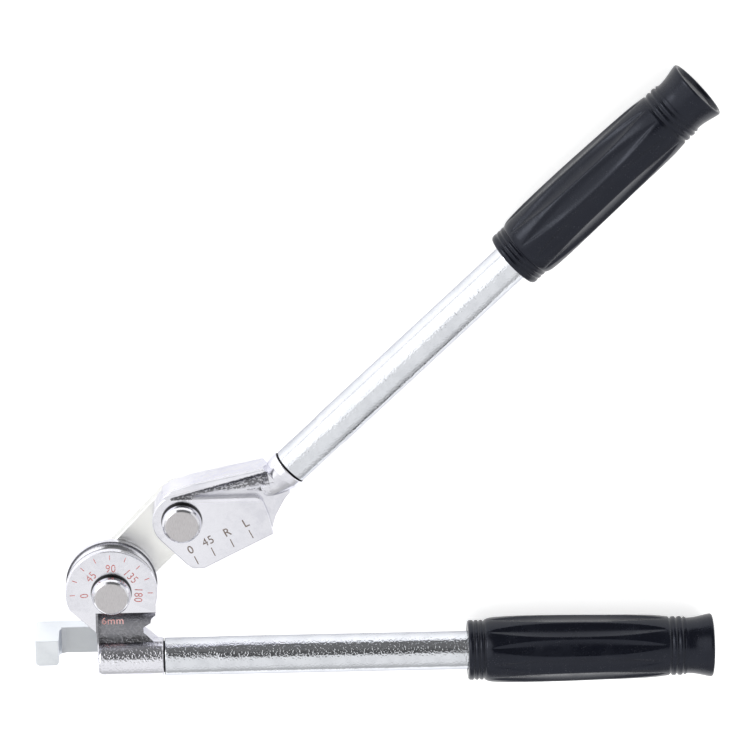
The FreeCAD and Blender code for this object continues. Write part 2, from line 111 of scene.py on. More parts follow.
class Graph:
    """A hand for adding and joining shader nodes in one tree."""

    def __init__(self, tree: bpy.types.NodeTree) -> None:
        """Keep the tree that nodes are added to.

        Args:
            tree: a material's or a group's node tree.
        """
        self.tree = tree

    def add(self, kind: str, settings: dict | None = None, **inputs: object) -> bpy.types.Node:
        """Add a node, set its properties and fill or join its inputs.

        Args:
            kind: the node's class name.
            settings: plain properties such as the operation.
            inputs: socket names with spaces as underscores, each a value or a socket.

        Returns:
            The new node.
        """
        node = self.tree.nodes.new(kind)
        for name, value in (settings or {}).items():
            setattr(node, name, value)
        for name, value in inputs.items():
            self.feed(node, name.replace("_", " "), value)
        return node

    def feed(self, node: bpy.types.Node, name: str, value: object) -> None:
        """Put a value in a socket, or join another socket to it.

        Args:
            node: the node that receives.
            name: the socket's name, or its number as text.
            value: a constant or an output socket.
        """
        socket = node.inputs[int(name)] if name.isdigit() else node.inputs[name]
        if isinstance(value, bpy.types.NodeSocket):
            self.tree.links.new(value, socket)
        else:
            socket.default_value = value

    def place(self) -> bpy.types.NodeSocket:
        """Give the surface point in the row frame."""
        return self.add("ShaderNodeTexCoord").outputs["Object"]

    def noise(self, scale: object, detail: float, roughness: float = 0.5) -> bpy.types.NodeSocket:
        """Add a noise over the surface.

        Args:
            scale: waves per metre, as a number or a socket.
            detail: how many finer layers it has.
            roughness: how strong the finer layers are.

        Returns:
            The noise, from 0 to 1.
        """
        return self.add("ShaderNodeTexNoise", Vector=self.place(), Scale=scale, Detail=detail,
                        Roughness=roughness).outputs[0]

    def maths(self, operation: str, first: object, second: object = 0.0) -> bpy.types.NodeSocket:
        """Combine two numbers.

        Args:
            operation: a Math node operation.
            first: a number or a socket.
            second: a number or a socket.

        Returns:
            The result socket.
        """
        node = self.tree.nodes.new("ShaderNodeMath")
        node.operation = operation
        self.feed(node, "0", first)
        self.feed(node, "1", second)
        return node.outputs[0]

    def ramp(self, value: object, low: float, high: float, start: float = 0.0,
             end: float = 1.0) -> bpy.types.NodeSocket:
        """Ease a number from one range to another.

        Args:
            value: the number or socket to map.
            low: where the range starts.
            high: where the range ends.
            start: the result at low.
            end: the result at high.

        Returns:
            The result socket.
        """
        node = self.tree.nodes.new("ShaderNodeMapRange")
        node.interpolation_type = "SMOOTHSTEP"
        for index, item in enumerate((value, low, high, start, end)):
            self.feed(node, str(index), item)
        return node.outputs[0]

    def blend(self, factor: object, first: object, second: object) -> bpy.types.NodeSocket:
        """Blend two colours by a mask.

        Args:
            factor: the mask.
            first: the colour where the mask is 0.
            second: the colour where the mask is 1.

        Returns:
            The colour socket.
        """
        node = self.tree.nodes.new("ShaderNodeMix")
        node.data_type = "RGBA"
        self.feed(node, "0", factor)
        self.feed(node, "6", first if isinstance(first, bpy.types.NodeSocket) else (*first, 1.0))
        self.feed(node, "7", second if isinstance(second, bpy.types.NodeSocket) else (*second, 1.0))
        return node.outputs[2]


def group(name: str, inputs: dict[str, float | Vector], outputs: tuple[str, ...],
          fill: Callable[[Graph, bpy.types.Node, bpy.types.Node], None]) -> bpy.types.NodeTree:
    """Build a shader node group once, and hand the same one out afterwards.

    Args:
        name: the group's name.
        inputs: its number and vector inputs with their defaults.
        outputs: its number outputs.
        fill: adds the nodes between the group's input and output nodes.

    Returns:
        The node group.
    """
    known = bpy.data.node_groups.get(name)
    if known is not None:
        return known
    tree = bpy.data.node_groups.new(name, "ShaderNodeTree")
    for label, default in inputs.items():
        kind = "NodeSocketVector" if isinstance(default, Vector) else "NodeSocketFloat"
        socket = tree.interface.new_socket(label, in_out="INPUT", socket_type=kind)
        socket.default_value = default
    for label in outputs:
        tree.interface.new_socket(label, in_out="OUTPUT", socket_type="NodeSocketFloat")
    graph = Graph(tree)
    fill(graph, tree.nodes.new("NodeGroupInput"), tree.nodes.new("NodeGroupOutput"))
    return tree


def cast_skin() -> bpy.types.NodeTree:
    """Give the uneven skin of plated metal: soft waves, small pits and a cloudy tone.

    Returns:
        The group, with inputs Wave Size and Pit Size per metre and Wave Depth and Pit Depth in
        metres, and outputs Height in metres, Cloud and Speckle.
    """

    def fill(graph: Graph, given: bpy.types.Node, out: bpy.types.Node) -> None:
        """Join waves and pits into one height, and a slower noise into the tone."""
        waves = graph.noise(given.outputs["Wave Size"], 2.0)
        pits = graph.noise(given.outputs["Pit Size"], 1.0, 0.4)
        deep = graph.ramp(pits, 0.42, 0.66)
        graph.feed(out, "Height", graph.maths(
            "SUBTRACT", graph.maths("MULTIPLY", waves, given.outputs["Wave Depth"]),
            graph.maths("MULTIPLY", deep, given.outputs["Pit Depth"])))
        cloud = graph.noise(graph.maths("MULTIPLY", given.outputs["Wave Size"], 0.4), 4.0, 0.65)
        graph.feed(out, "Cloud", graph.ramp(cloud, 0.35, 0.68))
        graph.feed(out, "Speckle", graph.ramp(pits, 0.47, 0.60))

    return group("cast_skin", {"Wave Size": 400.0, "Wave Depth": 0.00004, "Pit Size": 1200.0,
                               "Pit Depth": 0.00002}, ("Height", "Cloud", "Speckle"), fill)


def worn_edge() -> bpy.types.NodeTree:
    """Find the sharp outer edges of a piece, where plate is rubbed bright.

    Returns:
        The group, with input Width, and output Edge.
    """

    def fill(graph: Graph, given: bpy.types.Node, out: bpy.types.Node) -> None:
        """Compare a pointiness reading with a noise so the edge line is broken."""
        geometry = graph.add("ShaderNodeNewGeometry")
        broken = graph.maths("MULTIPLY", graph.noise(900.0, 3.0), given.outputs["Width"])
        reading = graph.maths("ADD", geometry.outputs["Pointiness"], broken)
        graph.feed(out, "Edge", graph.ramp(reading, 0.53, 0.62))

    return group("worn_edge", {"Width": 0.04}, ("Edge",), fill)


def fine_dust() -> bpy.types.NodeTree:
    """Scatter small pale specks and a faint film over a surface.

    Returns:
        The group, with inputs Speck Size and Amount, and outputs Specks, Film.
    """

    def fill(graph: Graph, given: bpy.types.Node, out: bpy.types.Node) -> None:
        """Cut specks from a cell noise and a film from a slow noise."""
        cells = graph.add("ShaderNodeTexVoronoi", Vector=graph.place(),
                          Scale=given.outputs["Speck Size"])
        near = graph.ramp(cells.outputs["Distance"], 0.10, 0.24, 1.0, 0.0)
        patch = graph.ramp(graph.noise(260.0, 3.0), 0.46, 0.66)
        graph.feed(out, "Specks", graph.maths(
            "MULTIPLY", graph.maths("MULTIPLY", near, patch), given.outputs["Amount"]))
        graph.feed(out, "Film", graph.ramp(graph.noise(55.0, 5.0, 0.7), 0.40, 0.72))

    return group("fine_dust", {"Speck Size": 1400.0, "Amount": 1.0}, ("Specks", "Film"), fill)


def inside_zone() -> bpy.types.NodeTree:
    """Tell which part of a surface lies inside a straight round zone, such as a recess.

    Returns:
        The group, with vector inputs Point, Direction, Side, number inputs Radius, Growth,
        Start, End, Soft, and output Inside.
    """

    def fill(graph: Graph, given: bpy.types.Node, out: bpy.types.Node) -> None:
        """Measure along and away from the zone's axis and compare with its limits."""

        def vector(operation: str, first: object, second: object) -> bpy.types.Node:
            """Combine two vectors."""
            node = graph.add("ShaderNodeVectorMath", {"operation": operation})
            graph.feed(node, "0", first)
            graph.feed(node, "1", second)
            return node

        rest = vector("SUBTRACT", graph.place(), given.outputs["Point"]).outputs["Vector"]
        along = vector("DOT_PRODUCT", rest, given.outputs["Direction"]).outputs["Value"]
        foot = graph.add("ShaderNodeVectorMath", {"operation": "SCALE"}, Scale=along)
        graph.feed(foot, "0", given.outputs["Direction"])
        off = vector("SUBTRACT", rest, foot.outputs["Vector"]).outputs["Vector"]
        away = graph.add("ShaderNodeVectorMath", {"operation": "LENGTH"})
        graph.feed(away, "0", off)
        limit = graph.maths("ADD", given.outputs["Radius"],
                            graph.maths("MULTIPLY", given.outputs["Growth"], along))
        soft = given.outputs["Soft"]
        over = graph.maths("SUBTRACT", away.outputs["Value"], limit)
        near = graph.ramp(over, 0.0, soft, 1.0, 0.0)
        after = graph.ramp(graph.maths("SUBTRACT", along, given.outputs["Start"]), 0.0, soft)
        before = graph.ramp(graph.maths("SUBTRACT", along, given.outputs["End"]), 0.0, soft,
                            1.0, 0.0)
        lean = vector("DOT_PRODUCT", rest, given.outputs["Side"]).outputs["Value"]
        sided = graph.ramp(lean, -1.2 * MM, -0.2 * MM)
        graph.feed(out, "Inside", graph.maths(
            "MULTIPLY", graph.maths("MULTIPLY", near, sided),
            graph.maths("MULTIPLY", after, before)))

    return group("inside_zone", {
        "Point": Vector(), "Direction": Vector(ALONG_X), "Side": Vector(), "Radius": 10.0 * MM,
        "Growth": 0.0, "Start": 0.0, "End": 10.0 * MM, "Soft": 0.2 * MM}, ("Inside",), fill)


@dataclass(frozen=True)
class Zone:
    """A straight round zone of a surface with its own finish (deeper pits, less metal, or painted
    shade), in the row frame.
    """

    point: Place
    direction: Place
    radius: float
    end: float
    shade: float
    start: float = 0.0
    growth: float = 0.0
    soft: float = 0.2 * MM
    side: Place = (0.0, 0.0, 0.0)
    speckle: float = 0.0

    def mask(self, graph: Graph) -> bpy.types.NodeSocket:
        """Add the zone's mask to a material.

        Args:
            graph: the material's graph.

        Returns:
            A socket that is the zone's shade inside it and 0 elsewhere.
        """
        node = placed(graph, inside_zone(), Point=self.point, Direction=self.direction,
                      Side=self.side, Radius=self.radius, Growth=self.growth, Start=self.start,
                      End=self.end, Soft=self.soft)
        return graph.maths("MULTIPLY", node.outputs["Inside"], self.shade)


def start_material(name: str) -> tuple[bpy.types.Material, Graph, bpy.types.Node]:
    """Make an empty material with one Principled shader.

    Args:
        name: the material's name.

    Returns:
        The material, its graph and the shader node.
    """
    material = bpy.data.materials.new(name)
    material.use_nodes = True
    material.node_tree.nodes.clear()
    graph = Graph(material.node_tree)
    shader = graph.add("ShaderNodeBsdfPrincipled")
    graph.add("ShaderNodeOutputMaterial", Surface=shader.outputs[0])
    return material, graph, shader


def placed(graph: Graph, tree: bpy.types.NodeTree, **inputs: object) -> bpy.types.Node:
    """Place a node group in a graph with its own values.

    Args:
        graph: the material's graph.
        tree: the node group.
        inputs: its values or sockets, with spaces in their names as underscores.

    Returns:
        The placed group.
    """
    node = graph.tree.nodes.new("ShaderNodeGroup")
    node.node_tree = tree
    for name, value in inputs.items():
        graph.feed(node, name.replace("_", " "), value)
    return node


# Near-black that zones blend toward: dark seam rings at the tube joints, and painted shade and
# painted shadow in hollows, gaps and under parts.
SHADE_AND_SEAM_DARK: Colour = (0.05, 0.05, 0.055)


@dataclass(frozen=True)
class PlateFinish:
    """Bright plate over metal, from drawn tube to a rough forging."""

    name: str
    bright: Colour
    dull: Colour
    roughness: float
    cloud_roughness: float
    wave_size: float
    wave_depth: float
    pit_size: float = 1200.0
    pit_depth: float = 0.004 * MM
    rough_depth: float = 0.05 * MM
    edge_radius: float = 0.35 * MM
    limb: Colour = (0.85, 0.85, 0.88)
    rough_zones: tuple[Zone, ...] = ()
    pale_zones: tuple[Zone, ...] = ()
    zones: tuple[Zone, ...] = ()

    def build(self) -> bpy.types.Material:
        """Build the material.

        Returns:
            The finished material.
        """
        material, graph, shader = start_material(self.name)
        depth: object = self.pit_depth
        for zone in self.rough_zones:
            depth = graph.maths("MAXIMUM", depth, graph.maths(
                "MULTIPLY", zone.mask(graph), self.rough_depth))
        skin = placed(graph, cast_skin(), Wave_Size=self.wave_size, Wave_Depth=self.wave_depth,
                      Pit_Size=self.pit_size, Pit_Depth=depth)
        edge = placed(graph, worn_edge(), Width=0.05).outputs["Edge"]
        cloud = skin.outputs["Cloud"]
        base = graph.blend(cloud, self.bright, self.dull)
        rubbed = tuple(min(1.0, part * 1.08) for part in self.bright)
        tone = graph.blend(edge, base, rubbed)
        rough = graph.ramp(cloud, 0.0, 1.0, self.roughness, self.cloud_roughness)
        # Each zone darkens the tone toward near-black, mottled where it has speckle; apart from the
        # seam rings these are painted shade and painted shadow.
        for zone in self.zones:
            dark = zone.mask(graph)
            if zone.speckle > 0.0:
                dark = graph.maths("MULTIPLY", dark, graph.ramp(
                    skin.outputs["Speckle"], 0.0, 1.0, 1.0, 1.0 - zone.speckle))
            tone = graph.blend(dark, tone, SHADE_AND_SEAM_DARK)
            rough = graph.maths("ADD", rough, graph.maths("MULTIPLY", dark, 0.12))
        graph.feed(shader, "Base Color", tone)
        metal: object = 1.0
        # Pale zones lose their metal so they read pale where the surface would mirror the dark
        # flag: painted light.
        for zone in self.pale_zones:
            metal = graph.maths("SUBTRACT", metal, zone.mask(graph))
        graph.feed(shader, "Metallic", metal)
        graph.feed(shader, "Roughness", rough)
        shader.inputs["Specular Tint"].default_value = (*self.limb, 1.0)
        rounded = graph.add("ShaderNodeBevel", {"samples": 4}, Radius=self.edge_radius)
        bump = graph.add("ShaderNodeBump", Strength=1.0, Distance=1.0,
                         Height=skin.outputs["Height"], Normal=rounded.outputs[0])
        graph.feed(shader, "Normal", bump.outputs[0])
        return material


@dataclass(frozen=True)
class PinFinish:
    """A turned pin: polished shoulder, a finely brushed flat face above a given height, and a drum
    below a second height painted near-black as painted shadow and painted dark reflection.
    """

    name: str
    shoulder: Colour
    face: Colour
    face_height: float
    drum_height: float
    grain: Place = (9000.0, 700.0, 700.0)

    def build(self) -> bpy.types.Material:
        """Build the material.

        Returns:
            The finished material.
        """
        material, graph, shader = start_material(self.name)
        place = graph.place()
        high = graph.add("ShaderNodeSeparateXYZ", Vector=place).outputs[2]
        on_face = graph.ramp(high, self.face_height - 0.2 * MM, self.face_height)
        stretched = graph.add("ShaderNodeMapping", Vector=place, Scale=self.grain)
        grain = graph.add("ShaderNodeTexNoise", Vector=stretched.outputs[0], Scale=1.0, Detail=3.0)
        skin = placed(graph, cast_skin(), Wave_Size=500.0)
        grainy = graph.ramp(grain.outputs[0], 0.3, 0.7)
        face = graph.blend(grainy, self.face, tuple(part * 0.86 for part in self.face))
        # Below drum_height the pin is painted near-black: painted shadow and painted dark
        # reflection round its head.
        drum_shade = graph.ramp(high, self.drum_height - 0.4 * MM, self.drum_height, 1.0, 0.0)
        side = graph.blend(drum_shade, self.shoulder, (0.06, 0.06, 0.065))
        graph.feed(shader, "Base Color", graph.blend(on_face, side, face))
        shader.inputs["Metallic"].default_value = 1.0
        face_rough = graph.ramp(grainy, 0.0, 1.0, 0.42, 0.55)
        side_rough = graph.ramp(skin.outputs["Cloud"], 0.0, 1.0, 0.10, 0.18)
        mixed = graph.maths("ADD", graph.maths("MULTIPLY", face_rough, on_face),
                            graph.maths("MULTIPLY", side_rough,
                                        graph.maths("SUBTRACT", 1.0, on_face)))
        graph.feed(shader, "Roughness", mixed)
        height = graph.maths("MULTIPLY", grain.outputs[0], on_face)
        rounded = graph.add("ShaderNodeBevel", {"samples": 4}, Radius=0.25 * MM)
        bump = graph.add("ShaderNodeBump", Strength=0.35, Distance=0.04 * MM, Height=height,
                         Normal=rounded.outputs[0])
        graph.feed(shader, "Normal", bump.outputs[0])
        return material


@dataclass(frozen=True)
class VinylFinish:
    """Dipped or moulded black vinyl with a faint pebble and a little dust."""

    name: str
    colour: Colour
    film_colour: Colour
    speck_colour: Colour
    roughness: float

    def build(self) -> bpy.types.Material:
        """Build the material.

        Returns:
            The finished material.
        """
        material, graph, shader = start_material(self.name)
        dust = placed(graph, fine_dust(), Speck_Size=1700.0, Amount=0.22)
        filmed = graph.blend(graph.maths("MULTIPLY", dust.outputs["Film"], 0.6),
                             self.colour, self.film_colour)
        graph.feed(shader, "Base Color", graph.blend(dust.outputs["Specks"], filmed,
                                                     self.speck_colour))
        graph.feed(shader, "Roughness", graph.ramp(
            dust.outputs["Film"], 0.0, 1.0, self.roughness, self.roughness + 0.14))
        raised = graph.maths("ADD", graph.noise(1900.0, 3.0),
                             graph.maths("MULTIPLY", dust.outputs["Specks"], 1.5))
        bump = graph.add("ShaderNodeBump", Strength=0.35, Distance=0.06 * MM, Height=raised)
        graph.feed(shader, "Normal", bump.outputs[0])
        shader.inputs["Specular IOR Level"].default_value = 0.38
        shader.inputs["Specular Tint"].default_value = (0.80, 0.85, 1.0, 1.0)
        return material


@dataclass(frozen=True)
class PaintFinish:
    """Thin paint or etched ink for marks, broken where it has worn through."""

    name: str
    colour: Colour
    worn: Colour

    def build(self) -> bpy.types.Material:
        """Build the material.

        Returns:
            The finished material.
        """
        material, graph, shader = start_material(self.name)
        chips = graph.noise(2600.0, 4.0)
        worn = graph.ramp(chips, 0.50, 0.66)
        graph.feed(shader, "Base Color", graph.blend(worn, self.colour, self.worn))
        graph.feed(shader, "Roughness", graph.ramp(worn, 0.0, 1.0, 0.50, 0.38))
        bump = graph.add("ShaderNodeBump", Strength=0.3, Distance=0.03 * MM, Height=chips)
        graph.feed(shader, "Normal", bump.outputs[0])
        return material


def on_shoe(across: float, up: float, high: float) -> Place:
    """Place a point given in the shoe's own axes, in the row frame."""
    turned = Matrix.Rotation(SHOE_TURN, 3, "Z") @ Vector((across, up, high))
    return tuple(SHOE_PIVOT + turned)


def along_shoe(degrees: float, rise: float = 0.0) -> Place:
    """Give a direction in the row frame from its turn in the shoe's own axes."""
    turn = SHOE_TURN + math.radians(degrees)
    lift = math.radians(rise)
    return (math.cos(turn) * math.cos(lift), math.sin(turn) * math.cos(lift), math.sin(lift))


FORM_SEAM = Zone((FORM_JOINT, HANDLE_DROP, 0.0), ALONG_X, 7.14 * MM, 0.6 * MM, 0.97,
                 start=-0.35 * MM, soft=0.06 * MM)
SHOE_SEAM = Zone(on_shoe(SHOE_JOINT, SHOE_OFFSET, 0.0), along_shoe(0.0), 7.14 * MM, 0.6 * MM,
                 0.97, start=-0.35 * MM, soft=0.06 * MM)
# The form head's scoop, painted darker and mottled: painted shade in the recess.
SCOOP = Zone((-5.2 * MM, SCOOP_UP, SCOOP_HIGH), ALONG_X, SCOOP_RADIUS + 0.05 * MM, 30.0 * MM,
             0.74, start=-1.0 * MM, soft=0.15 * MM, side=(0.0, 0.575, -0.278), speckle=0.10)
SCOOP_SKIN = Zone(SCOOP.point, ALONG_X, SCOOP_RADIUS + 0.2 * MM, 30.0 * MM, 0.7,
                  start=-1.0 * MM, side=SCOOP.side)
# Thin dark bands at the wheel groove's lips on the upper half: painted shadow of the groove gap.
FRONT_LIP_SHADOW = Zone((0.0, 0.0, 0.0), ALONG_Z, 20.0 * MM, 3.75 * MM, 0.75, start=2.9 * MM,
                 soft=0.15 * MM, side=ALONG_Y)
BACK_LIP_SHADOW = Zone((0.0, 0.0, 0.0), ALONG_Z, 20.0 * MM, -3.04 * MM, 0.85, start=-3.22 * MM,
                soft=0.08 * MM, side=ALONG_Y)
# The shoe's valley, painted dark and mottled: painted shade.
VALLEY_SHADE = Zone(on_shoe(3.4 * MM, 9.3 * MM, 6.3 * MM), along_shoe(-35.7, 3.2), 0.4 * MM, 37.0 * MM,
              0.80, growth=0.1432, soft=0.3 * MM, side=along_shoe(54.3), speckle=0.62)
VALLEY_WALL = Zone(VALLEY_SHADE.point, VALLEY_SHADE.direction, VALLEY_SHADE.radius, VALLEY_SHADE.end, 0.8, growth=0.15,
                   soft=0.3 * MM)
FORM_BARREL = Zone((-7.0 * MM, HANDLE_DROP, 0.0), ALONG_X, 7.6 * MM, 150.0 * MM, 1.0,
                   soft=0.4 * MM, side=(0.0, 0.9, 0.25))
SHOE_TUBE_EDGE = Zone(on_shoe(43.0 * MM, SHOE_OFFSET, 0.0), along_shoe(0.0), 7.6 * MM,
                      120.0 * MM, 0.8, soft=0.4 * MM, side=along_shoe(-90.0, 20.0))
MAIN_PIN_SHADOW = Zone((0.0, 0.35 * MM, 5.5 * MM), ALONG_Z, 7.55 * MM, 1.4 * MM, 0.85,
                       soft=0.25 * MM)
SHOE_PIN_SHADOW = Zone((SHOE_PIVOT.x, SHOE_PIVOT.y + 0.35 * MM, 5.5 * MM), ALONG_Z, 7.55 * MM,
                       1.4 * MM, 0.85, soft=0.25 * MM)
# The web wall and rib edge lose their metal so they read pale instead of mirroring the dark flag:
# painted light.
WEB_WALL = Zone(on_shoe(4.2 * MM, 9.1 * MM, 5.0 * MM), along_shoe(-43.6), 1.8 * MM, 32.0 * MM,
                0.70, start=7.0 * MM, soft=0.8 * MM)
RIB_EDGE = Zone(on_shoe(5.5 * MM, 11.4 * MM, FACE_HEIGHT), along_shoe(-30.4), 1.3 * MM,
                35.0 * MM, 0.70, start=-5.0 * MM, soft=0.5 * MM)
# The latch arm's front face, painted darker: painted shade under the hook and the wheel.
LATCH_ARM_SHADE = Zone((-19.9 * MM, -24.0 * MM, -6.0 * MM), ALONG_X, 6.5 * MM, 16.0 * MM, 0.36,
                 soft=0.5 * MM, side=ALONG_Z)

FORGING = PlateFinish("plated_forging", (0.84, 0.84, 0.89), (0.76, 0.76, 0.82), 0.14, 0.22,
                      420.0, 0.022 * MM, pit_size=1100.0, rough_depth=0.060 * MM,
                      rough_zones=(FORM_BARREL, VALLEY_WALL, SCOOP_SKIN),
                      pale_zones=(WEB_WALL, RIB_EDGE),
                      zones=(FORM_SEAM, SHOE_SEAM, SCOOP, VALLEY_SHADE, FRONT_LIP_SHADOW, BACK_LIP_SHADOW,
                             MAIN_PIN_SHADOW, SHOE_PIN_SHADOW))
DRAWN_TUBE = PlateFinish("plated_tube", (0.80, 0.82, 0.86), (0.73, 0.75, 0.79), 0.07, 0.13,
                         330.0, 0.05 * MM, pit_size=1150.0, pit_depth=0.012 * MM,
                         rough_depth=0.050 * MM, limb=(0.6, 0.6, 0.63),
                         rough_zones=(FORM_BARREL, SHOE_TUBE_EDGE),
                         zones=(FORM_SEAM, SHOE_SEAM))
LINK_SATIN = PlateFinish("satin_link", (0.93, 0.93, 0.90), (0.88, 0.88, 0.85), 0.34, 0.44,
                         300.0, 0.015 * MM)
LATCH_SATIN = PlateFinish("satin_latch", (0.80, 0.83, 0.86), (0.74, 0.77, 0.81), 0.33, 0.43,
                          450.0, 0.03 * MM, zones=(LATCH_ARM_SHADE,))
HARDWARE = PlateFinish("hardware_steel", (0.56, 0.57, 0.59), (0.44, 0.45, 0.47), 0.28, 0.40,
                       700.0, 0.01 * MM)
BRONZE = PlateFinish("bush_bronze", (0.70, 0.52, 0.30), (0.56, 0.40, 0.22), 0.38, 0.50,
                     1500.0, 0.01 * MM)
PIN = PinFinish("pin_steel", (0.78, 0.78, 0.82), (0.67, 0.65, 0.66), 0.01115, 0.0083)
VINYL = VinylFinish("grip_vinyl", (0.0035, 0.0042, 0.0085), (0.0070, 0.0082, 0.0140),
                    (0.30, 0.30, 0.33), 0.22)
RED_PAINT = PaintFinish("dial_red", (0.56, 0.13, 0.12), (0.72, 0.50, 0.50))
PALE_RED = PaintFinish("size_red", (0.80, 0.40, 0.38), (0.85, 0.72, 0.70))
DARK_ETCH = PaintFinish("shoe_etch", (0.16, 0.12, 0.10), (0.32, 0.28, 0.26))


# ---------------------------------------------------------------- mesh building


def mesh_object(name: str, mesh: bpy.types.Mesh, material: bpy.types.Material,
                smooth: bool = True) -> bpy.types.Object:
    """Put a mesh in the scene with its material.

    Args:
        name: the piece's name.
        mesh: the finished mesh.
        material: what it is made of.
        smooth: whether its faces shade smoothly.

    Returns:
        The new object.
    """
    mesh.materials.append(material)
    mesh.polygons.foreach_set("use_smooth", [smooth] * len(mesh.polygons))
    piece = bpy.data.objects.new(name, mesh)
    bpy.context.scene.collection.objects.link(piece)
    return piece


def lathe(name: str, profile: list[Point], around: int, place: Matrix,
          shape: Callable[[float, float, float], float]) -> bpy.types.Mesh:
    """Turn a closed profile about X, letting a rule change the radius round the turn.

    Args:
        name: the mesh's name.
        profile: corners as (along, radius); a radius of 0 lies on the axis.
        around: how many columns the turn has.
        place: moves the result into the row frame.
        shape: gives the radius from (along, radius, angle).

    Returns:
        The mesh.
    """
    form = bmesh.new()
    rings: list[list[bmesh.types.BMVert]] = []
    for along, radius in profile:
        if radius <= 1e-9:
            rings.append([form.verts.new((along, 0.0, 0.0))])
            continue
        ring = []
        for step in range(around):
            angle = 2.0 * math.pi * step / around
            reach = shape(along, radius, angle)
            ring.append(form.verts.new((along, reach * math.cos(angle), reach * math.sin(angle))))
        rings.append(ring)
    closed = len(rings[0]) > 1 and len(rings[-1]) > 1
    pairs = list(zip(rings, rings[1:])) + ([(rings[-1], rings[0])] if closed else [])
    for first, second in pairs:
        for step in range(around):
            after = (step + 1) % around
            corners = [first[step % len(first)], first[after % len(first)],
                       second[after % len(second)], second[step % len(second)]]
            distinct = list(dict.fromkeys(corners))
            if len(distinct) > 2:
                form.faces.new(distinct)
    bmesh.ops.recalc_face_normals(form, faces=form.faces)
    form.transform(place)
    mesh = bpy.data.meshes.new(name)
    form.to_mesh(mesh)
    form.free()
    return mesh


def thicken_profile(corners: list[Point], step: float) -> list[Point]:
    """Add points along a profile's long runs so that a rule can bend them.

    Args:
        corners: the profile's corners.
        step: the longest run left.

    Returns:
        The denser profile.
    """
    dense: list[Point] = []
    for start, end in zip(corners, corners[1:]):
        count = max(1, math.ceil(math.dist(start, end) / step))
        for index in range(count):
            share = index / count
            dense.append((start[0] + (end[0] - start[0]) * share,
                          start[1] + (end[1] - start[1]) * share))
    dense.append(corners[-1])
    return dense


def smooth_profile(corners: list[Point], step: float) -> list[Point]:
    """Run a smooth curve through a profile's corners.

    Args:
        corners: points the curve goes through.
        step: the distance between the points that come back.

    Returns:
        Points on the curve.
    """
    result: list[Point] = []
    last = len(corners) - 1
    for index in range(last):
        before = Vector(corners[max(index - 1, 0)])
        start = Vector(corners[index])
        end = Vector(corners[index + 1])
        beyond = Vector(corners[min(index + 2, last)])
        count = max(1, math.ceil((end - start).length / step))
        for part in range(count):
            share = part / count
            square = share * share
            cube = square * share
            point = 0.5 * ((2.0 * start) + (end - before) * share
                           + (2.0 * before - 5.0 * start + 4.0 * end - beyond) * square
                           + (3.0 * start - before - 3.0 * end + beyond) * cube)
            result.append((point.x, point.y))
    result.append(corners[-1])
    return result


